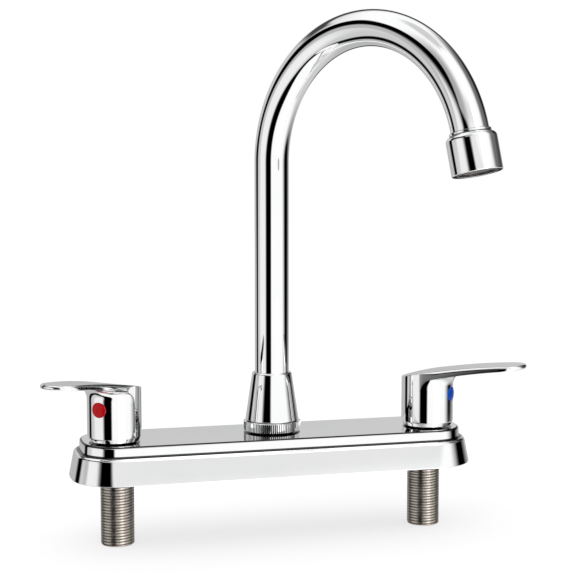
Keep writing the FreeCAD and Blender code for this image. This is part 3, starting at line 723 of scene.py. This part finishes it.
def makeCone():
    foot, top = cone["foot"], cone["foot"] + cone["height"]
    collarZ = top - cone["collar"]
    slope = (cone["footR"] - cone["topR"]) / cone["height"]
    innerR = cone["footR"] - cone["wall"]
    path = roundCorners([
        (innerR, foot, 0),
        (cone["footR"], foot, cone["footEdgeR"]),
        (cone["topR"], top, cone["lipR"]),
        (cone["boreR"], top, cone["boreEdgeR"]),
        (cone["boreR"], collarZ, 0),
        (innerR - slope * (collarZ - foot), collarZ, 0),
    ])
    piece = spunPiece("spoutCone", path, steps=cone["sides"])
    putInPlace(piece, spoutPlace())
    polishShading(piece)
    finishPiece(piece, "spout", "polished_chrome", "spout_cone")


makeCone()

nut = {
    "bottom": 23.9, "height": 6.2, "outerR": 18.3, "fluteDepth": 0.55, "flutes": 90,
    "footEdge": 0.3, "bevel": 0.5, "bevelShare": 0.35, "bevelInset": 0.2, "faceInset": 0.5,
    # the last key on the next line is how dark the painted shade in the flutes' grooves is
    "threadR": 13.05, "neckR": 11.4, "lipZ": 29.28, "grooveShade": 0.9,
}


def makeNut():
    grooves = [0, 0, nut["fluteDepth"], nut["fluteDepth"]]  # two columns on a rib, two in a groove
    columns = nut["flutes"] * len(grooves)
    angles = [2 * math.pi * k / columns for k in range(columns)]
    bottom, top = nut["bottom"], nut["bottom"] + nut["height"]
    rootR, bevelZ = nut["outerR"] - nut["fluteDepth"], top - nut["bevel"]

    def plain(radius, z):
        return [(radius * math.cos(angle), radius * math.sin(angle), z) for angle in angles]

    def fluted(z):
        radii = [nut["outerR"] - grooves[k % len(grooves)] for k in range(columns)]
        return [(r * math.cos(angle), r * math.sin(angle), z) for r, angle in zip(radii, angles)]

    def nutShadePaint(x, y, z):
        # painted shade: the underside and the grooves are painted dark
        if z < bottom + 0.1:
            return 1
        inGroove = math.hypot(x, y) < nut["outerR"] - nut["fluteDepth"] / 2
        return nut["grooveShade"] if inGroove and z < bevelZ + 0.01 else 0

    piece = startRing("spoutNut", plain(nut["threadR"], bottom))
    for ring in (
        plain(rootR - nut["footEdge"], bottom),
        fluted(bottom + nut["footEdge"]),
        fluted(bevelZ),
        plain(rootR - nut["bevelInset"], top - nut["bevel"] * nut["bevelShare"]),
        plain(rootR - nut["faceInset"], top),
        plain(nut["neckR"], top),
        plain(nut["neckR"], nut["lipZ"]),
        plain(nut["threadR"], nut["lipZ"]),
        plain(nut["threadR"], bottom),
    ):
        nextRing(piece, ring)
    leaveEdit()
    paintShade(piece, nutShadePaint)
    putInPlace(piece, turnedAbout(0, 0, layout["spoutY"]))
    polishShading(piece, angle=25)
    finishPiece(piece, "faucet_body", "polished_chrome", "spout_nut")


makeNut()


# aerator

aerator = {
    # adapter ring at the tube's end
    "ringR": 12.0, "ringLength": 1.5, "ringTopR": 0.35, "ringFootR": 0.25,
    "spigotR": 9.4, "spigotLength": 5.0, "spigotEdgeR": 0.2,
    "threadR": 11.0, "threadLength": 9.0, "threadEdgeR": 0.3, "boreR": 8.0,
    # housing screwed on it, with a groove and a bead around the outlet
    "start": 1.8, "length": 22.4, "housingR": 14.6, "shoulderR": 3.2, "footEdgeR": 0.7,
    "threadBoreR": 11.05, "boreEdgeR": 0.2, "grooveR": 11.9, "grooveWidth": 0.25, "grooveDepth": 0.35,
    "beadInset": 0.95, "beadEdgeR": 0.25, "lipR": 9.9, "lipDrop": 0.7, "lipLength": 1.2, "lipEdgeR": 0.2,
    "grooveTopR": 0.15, "grooveFloorR": 0.1, "housingSides": 112, "housingSteps": 8,
    # screen in the outlet, a net of wires in a thin rim
    "insertR": 10.95, "screenThick": 0.8, "wireMm": 0.42, "pitch": 1.35, "netInset": 0.3,
    "rimPlay": 0.02, "rimWidth": 1.4, "rimHalf": 0.3, "rimEdgeR": 0.1, "rimSides": 64,
    # how dark the painted shade at the ring's faces, in the outlet and in the groove is
    "shadeLevel": 0.9,
}


def makeAdapter():
    ring = aerator
    threadEnd = ring["ringLength"] + ring["threadLength"]

    def adapterShadePaint(x, y, z):
        # painted shade: both faces of the ring are painted dark where they meet the neighbours
        return ring["shadeLevel"] if z < 0.2 or z > ring["ringLength"] - 0.05 else 0

    path = roundCorners([
        (ring["boreR"], -ring["spigotLength"], 0),
        (ring["spigotR"], -ring["spigotLength"], ring["spigotEdgeR"]),
        (ring["spigotR"], 0, 0),
        (ring["ringR"], 0, ring["ringTopR"]),
        (ring["ringR"], ring["ringLength"], ring["ringFootR"]),
        (ring["threadR"], ring["ringLength"], 0),
        (ring["threadR"], threadEnd, ring["threadEdgeR"]),
        (ring["boreR"], threadEnd, 0),
    ])
    piece = spunPiece("aeratorAdapter", path)
    paintShade(piece, adapterShadePaint)
    putInPlace(piece, outletPlace())
    polishShading(piece)
    finishPiece(piece, "spout", "polished_chrome", "aerator_adapter")


def makeHousing():
    ring = aerator
    start, end = ring["start"], ring["start"] + ring["length"]
    lipZ, seatZ, grooveZ = end - ring["lipDrop"], end - ring["lipLength"], end - ring["grooveDepth"]
    grooveR, beadInnerR = ring["grooveR"], ring["grooveR"] - ring["beadInset"]
    beadOuterR = grooveR - ring["grooveWidth"]

    def housingShadePaint(x, y, z):
        # painted shade: the outlet inside the bead and the groove outside it are painted dark
        away = math.hypot(x, y)
        inOutlet = z > end - 1.3 and away < grooveR - 0.9
        inGroove = end - 0.5 < z < end - 0.2 and away < grooveR + 0.1
        return ring["shadeLevel"] if inOutlet or inGroove else 0

    path = roundCorners([
        (ring["threadBoreR"], start, ring["boreEdgeR"]),
        (ring["housingR"], start, ring["shoulderR"]),
        (ring["housingR"], end, ring["footEdgeR"]),
        (grooveR, end, 0),
        (grooveR, grooveZ, ring["grooveTopR"]),
        (beadOuterR, grooveZ, ring["grooveFloorR"]),
        (beadOuterR, end, ring["beadEdgeR"]),
        (beadInnerR, end, ring["beadEdgeR"]),
        (beadInnerR, lipZ, ring["grooveFloorR"]),
        (ring["lipR"], lipZ, ring["lipEdgeR"]),
        (ring["lipR"], seatZ, 0),
        (ring["threadBoreR"], seatZ, 0),
    ], steps=ring["housingSteps"])
    piece = spunPiece("aeratorHousing", path, steps=ring["housingSides"])
    paintShade(piece, housingShadePaint)
    putInPlace(piece, outletPlace())
    polishShading(piece)
    finishPiece(piece, "spout", "polished_chrome", "aerator_housing")


def makeScreen():
    # a square net cut round and turned into wires, then joined with its rim
    insertR, pitch = aerator["insertR"], aerator["pitch"]
    cells = int(2 * insertR / pitch)
    clearSelection()
    bpy.ops.mesh.primitive_grid_add(x_subdivisions=cells, y_subdivisions=cells, size=cells * pitch * mm)
    piece = bpy.context.object
    piece.name = "aeratorScreen"
    bpy.ops.object.mode_set(mode="EDIT")
    mesh = bmesh.from_edit_mesh(piece.data)
    limit = (insertR - aerator["netInset"]) * mm
    outside = [vertex for vertex in mesh.verts if vertex.co.xy.length > limit]
    bmesh.ops.delete(mesh, geom=outside, context="VERTS")
    bmesh.update_edit_mesh(piece.data)
    bpy.ops.object.mode_set(mode="OBJECT")
    applyModifier(
        piece, "WIREFRAME", "wires", thickness=aerator["wireMm"] * mm,
        use_boundary=True, use_even_offset=False)
    clearSelection()
    innerR, outerR = insertR - aerator["rimWidth"], insertR - aerator["rimPlay"]
    half, edgeR = aerator["rimHalf"], aerator["rimEdgeR"]
    path = roundCorners([
        (innerR, -half, edgeR),
        (outerR, -half, edgeR),
        (outerR, half, edgeR),
        (innerR, half, edgeR),
    ], steps=3)
    rim = spunPiece("screenRim", path, steps=aerator["rimSides"])
    clearSelection()
    piece.select_set(True)
    rim.select_set(True)
    bpy.context.view_layer.objects.active = piece
    bpy.ops.object.join()
    end = aerator["start"] + aerator["length"]
    screenZ = end - aerator["lipLength"] - aerator["screenThick"] / 2
    putInPlace(piece, outletPlace() @ Matrix.Translation((0, 0, screenZ * mm)))
    polishShading(piece, angle=45)
    finishPiece(piece, "spout", "screen_steel", "aerator_screen")


makeAdapter()
makeHousing()
makeScreen()


# threaded shanks

shank = {
    "length": 42.6, "crestR": 10.4775, "pitch": 25.4 / 14, "depth": 0.8, "chamfer": 0.6, "boreR": 7.0,
    "neckR": 9.4, "neckLength": 2.0, "shoulderR": 9.9, "shoulderTop": 2.2, "spigotR": 8.9, "spigotTop": 7.4,
    "sides": 48, "profileSteps": 12, "spareTurns": 3, "mergeMm": 0.0005,
}


def threadProfile(share):
    # broad flat crests, narrow rounded grooves
    return min(1 - math.cos(2 * math.pi * share), 1)


def selectRimAt(piece, z):
    # the open edges at one height
    bpy.ops.mesh.select_all(action="DESELECT")
    mesh = bmesh.from_edit_mesh(piece.data)
    for edge in mesh.edges:
        if edge.is_boundary and all(abs(vertex.co.z - z * mm) < flatGap for vertex in edge.verts):
            edge.select_set(True)
    bmesh.update_edit_mesh(piece.data)


def pullTo(piece, radius, z):
    # extrude the selected rim, then lay it on a circle
    bpy.ops.mesh.extrude_region_move(TRANSFORM_OT_translate={"value": (0, 0, 0)})
    mesh = bmesh.from_edit_mesh(piece.data)
    for vertex in mesh.verts:
        if vertex.select:
            flat = vertex.co.xy.normalized() * radius * mm
            vertex.co = Vector((flat.x, flat.y, z * mm))
    bmesh.update_edit_mesh(piece.data)


def makeShank(side):
    # a screwed profile cut flat at both ends, then closed with the neck, shoulder, spigot and bore
    values = shank
    bottom, neckZ = -values["length"], -values["neckLength"]
    steps, pitch, depth = values["profileSteps"], values["pitch"], values["depth"]
    turns = int(values["length"] / pitch) + values["spareTurns"]
    rootR = values["crestR"] - depth
    shares = [k / steps for k in range(steps + 1)]
    path = [(rootR + depth * threadProfile(share), bottom + pitch * (share - 1)) for share in shares]
    piece = startRing(side + "Shank", [(across, 0, up) for across, up in path])
    openProfile(piece, steps)
    bpy.ops.object.mode_set(mode="OBJECT")
    applyModifier(
        piece, "SCREW", "thread", angle=2 * math.pi, steps=values["sides"], render_steps=values["sides"],
        screw_offset=pitch * mm, iterations=turns, use_merge_vertices=True, merge_threshold=1e-6)
    makeActive(piece)
    bpy.ops.object.mode_set(mode="EDIT")
    bpy.ops.mesh.select_mode(type="EDGE")
    bpy.ops.mesh.select_all(action="SELECT")
    bpy.ops.mesh.remove_doubles(threshold=values["mergeMm"] * mm)
    bpy.ops.mesh.bisect(
        plane_co=(0, 0, bottom * mm), plane_no=(0, 0, 1), clear_inner=True, threshold=flatGap)
    bpy.ops.mesh.select_all(action="SELECT")
    bpy.ops.mesh.bisect(
        plane_co=(0, 0, neckZ * mm), plane_no=(0, 0, 1), clear_outer=True, threshold=flatGap)
    mesh = bmesh.from_edit_mesh(piece.data)
    for vertex in mesh.verts:
        height = vertex.co.z / mm - bottom
        limit = (values["crestR"] - values["chamfer"] + height) * mm
        flat = vertex.co.xy
        if height < values["chamfer"] and flat.length > limit:
            flat = flat.normalized() * limit
            vertex.co.x, vertex.co.y = flat.x, flat.y
    bmesh.update_edit_mesh(piece.data)
    selectRimAt(piece, bottom)
    pullTo(piece, values["boreR"], bottom)
    pullTo(piece, values["boreR"], values["spigotTop"])
    selectRimAt(piece, neckZ)
    pullTo(piece, values["neckR"], neckZ)
    pullTo(piece, values["neckR"], 0)
    pullTo(piece, values["shoulderR"], 0)
    pullTo(piece, values["shoulderR"], values["shoulderTop"])
    pullTo(piece, values["spigotR"], values["shoulderTop"])
    pullTo(piece, values["spigotR"], values["spigotTop"])
    selectRimAt(piece, values["spigotTop"])
    bpy.ops.mesh.bridge_edge_loops()
    leaveEdit(mergeMm=values["mergeMm"])
    putInPlace(piece, valvePlace(side))
    polishShading(piece, angle=50)
    finishPiece(piece, "faucet_body", "nickel_plate", side + "_shank")


for side in sides:
    makeShank(side)


# studio

# the floor's height, the lens and the sensor are in millimetres, the studio's other lengths in metres
studio = {
    "floorZ": -42.7, "floorSize": 8.0, "floorDiffuse": 0.32, "floorGlow": 0.69,
    "tentR": 10.0, "tentZ": 0.10, "tentGlow": 1.03, "worldLight": 1.0,
    "lampSpot": (-0.5, -0.7, 1.3), "lampAim": (0, 0, 0.1), "lampSize": 0.9, "lampPower": 3.0,
    "cameraSpot": (-0.23459, -0.91377, 0.20679), "cameraAhead": (0.25647, 0.96184, -0.09532),
    "cameraBearing": -104.4, "lens": 93.3, "sensor": 36, "nearest": 0.01,
}

# soft panels and black flags in the light tent, laid over one another in this order. In degrees, the
# bearing round from the camera and half the width, the height above the horizon and half the height,
# then lean, squareness (2 is an oval), softness of the edge (share of the size) and brightness
tentPanels = {
    "ceiling": (0, 400, 90, 16, 0, 4, 0.7, 0.66),
    "frontHaze": (14, 30, 30, 8, 0, 2, 1.2, 0.84),
    "backWall": (180, 78, -14, 58, 0, 4, 0.5, 0.64),
    "backLeftLow": (-155, 46, -25, 34, 0, 3, 0.6, 0.50),
    "rightWall": (116, 36, 20, 40, 0, 2.5, 0.75, 0.16),
    "backRightFlag": (136, 20, 22, 15, 0, 2, 1.1, 0.01),
    "rightFlag": (110, 17, -1, 13, 0, 2, 0.7, 0),
    "backFlag": (178, 32, 30, 12, 0, 3, 0.6, 0.04),
    "frontLeftHaze": (-36, 30, 28, 30, 0, 2, 1.1, 0.42),
    "backLeftFlag": (-150, 32, 31, 6, -0.04, 6, 0.6, 0.06),
    "leaningFlag": (-108, 22, 16, 14, 0.5, 3, 0.3, 0),
    "leftFlag": (-72, 33, 21, 16, 0.12, 3.2, 0.22, 0),
    "leftLowFlag": (-64.5, 60, -20, 37, 0.06, 5, 0.12, 0),
    "leftLowCloth": (-74.5, 32, -19, 28.5, 0.06, 4, 0.2, 0.62),
    "leftLowGlow": (-64, 22, -12, 26, 0, 3, 0.7, 0.90),
    "leftGlow": (-86, 9, 8, 8, 0, 2, 0.7, 0.5),
    "backLeftCloth": (-134, 13, 15, 12, 0, 3, 0.5, 0.60),
    "rightBand": (32, 42, 14, 6, 0, 8, 0.25, 0.83),
    "rightStripLow": (38, 13, -40, 30, 0, 6, 0.3, 1.7),
    "rightStripMiddle": (38, 13, -15, 8, 0, 6, 0.3, 3.2),
    "rightStripHigh": (38, 13, 48, 27, 0, 6, 0.3, 2.0),
    "backLowFlag": (172, 15, -16, 7, 0, 4, 0.4, 0.02),
}


def makeTent():
    clearSelection()
    bpy.ops.mesh.primitive_uv_sphere_add(
        segments=96, ring_count=48, radius=studio["tentR"], location=(0, 0, studio["tentZ"]))
    tent = bpy.context.object
    tent.name = "lightTent"
    material, nodes, links = emptyMaterial("tentCloth")

    def feed(socket, value):
        # a number or another node's output
        if isinstance(value, (int, float)):
            socket.default_value = value
        else:
            links.new(value, socket)

    def work(operation, *values):
        node = nodes.new("ShaderNodeMath")
        node.operation = operation
        for socket, value in zip(node.inputs, values):
            feed(socket, value)
        return node.outputs[0]

    place = nodes.new("ShaderNodeTexCoord")
    unit = nodes.new("ShaderNodeVectorMath")
    unit.operation = "NORMALIZE"
    links.new(place.outputs["Object"], unit.inputs[0])
    split = nodes.new("ShaderNodeSeparateXYZ")
    links.new(unit.outputs["Vector"], split.inputs["Vector"])
    bearing = work("DEGREES", work("ARCTAN2", split.outputs["Y"], split.outputs["X"]))
    height = work("DEGREES", work("ARCSINE", split.outputs["Z"]))
    level = studio["tentGlow"]
    for turn, half, lift, tall, lean, square, soft, brightness in tentPanels.values():
        away = work("WRAP", work("SUBTRACT", bearing, studio["cameraBearing"] + turn), 180.0, -180.0)
        above = work("SUBTRACT", work("SUBTRACT", height, lift), work("MULTIPLY", away, lean))
        across = work("POWER", work("ABSOLUTE", work("DIVIDE", away, half)), square)
        above = work("POWER", work("ABSOLUTE", work("DIVIDE", above, tall)), square)
        cover = nodes.new("ShaderNodeMapRange")
        cover.interpolation_type = "SMOOTHSTEP"
        cover.inputs["From Min"].default_value = 1 + soft / 2
        cover.inputs["From Max"].default_value = 1 - soft / 2
        feed(cover.inputs["Value"], work("POWER", work("ADD", across, above), 1 / square))
        blend = nodes.new("ShaderNodeMix")
        feed(blend.inputs["Factor"], cover.outputs["Result"])
        feed(blend.inputs["A"], level)
        feed(blend.inputs["B"], brightness)
        level = blend.outputs["Result"]
    glow = nodes.new("ShaderNodeEmission")
    links.new(level, glow.inputs["Strength"])
    output = nodes.new("ShaderNodeOutputMaterial")
    links.new(glow.outputs["Emission"], output.inputs["Surface"])
    tent.data.materials.append(material)
    # only reflections see the tent
    tent.visible_camera = False
    tent.visible_diffuse = False
    tent.visible_shadow = False
    tent.visible_transmission = False


def makeFloor():
    clearSelection()
    bpy.ops.mesh.primitive_plane_add(size=studio["floorSize"], location=(0, 0, studio["floorZ"] * mm))
    floor = bpy.context.object
    floor.name = "paleFloor"
    material, nodes, links = emptyMaterial("paleFloor")
    matt = nodes.new("ShaderNodeBsdfDiffuse")
    matt.inputs["Color"].default_value = (studio["floorDiffuse"],) * 3 + (1,)
    # the glow is for the camera alone and lights nothing
    rays = nodes.new("ShaderNodeLightPath")
    strength = nodes.new("ShaderNodeMath")
    strength.operation = "MULTIPLY"
    strength.inputs[1].default_value = studio["floorGlow"]
    links.new(rays.outputs["Is Camera Ray"], strength.inputs[0])
    glow = nodes.new("ShaderNodeEmission")
    links.new(strength.outputs[0], glow.inputs["Strength"])
    both = nodes.new("ShaderNodeAddShader")
    links.new(matt.outputs["BSDF"], both.inputs[0])
    links.new(glow.outputs["Emission"], both.inputs[1])
    output = nodes.new("ShaderNodeOutputMaterial")
    links.new(both.outputs["Shader"], output.inputs["Surface"])
    floor.data.materials.append(material)
    floor.visible_glossy = False  # what chrome sees below is the tent


def makeWorld():
    world = bpy.data.worlds.new("whiteRoom")
    world.use_nodes = True
    background = world.node_tree.nodes["Background"]
    background.inputs["Color"].default_value = (1, 1, 1, 1)
    background.inputs["Strength"].default_value = studio["worldLight"]
    bpy.context.scene.world = world


def standAt(holder, spot, ahead):
    holder.location = spot
    holder.rotation_mode = "QUATERNION"
    holder.rotation_quaternion = ahead.to_track_quat("-Z", "Y")
    bpy.context.scene.collection.objects.link(holder)


def makeLamp():
    lamp = bpy.data.lights.new("softLamp", "AREA")
    lamp.shape = "DISK"
    lamp.size = studio["lampSize"]
    lamp.energy = studio["lampPower"]
    holder = bpy.data.objects.new("softLamp", lamp)
    standAt(holder, studio["lampSpot"], Vector(studio["lampAim"]) - Vector(studio["lampSpot"]))
    holder.visible_glossy = False


def makeCamera():
    camera = bpy.data.cameras.new("photoCamera")
    camera.lens = studio["lens"]
    camera.sensor_width = studio["sensor"]
    camera.clip_start = studio["nearest"]
    holder = bpy.data.objects.new("photoCamera", camera)
    standAt(holder, studio["cameraSpot"], Vector(studio["cameraAhead"]))
    bpy.context.scene.camera = holder


makeTent()
makeFloor()
makeWorld()
makeLamp()
makeCamera()
bpy.context.scene.view_settings.view_transform = "Standard"
print("studio ready")
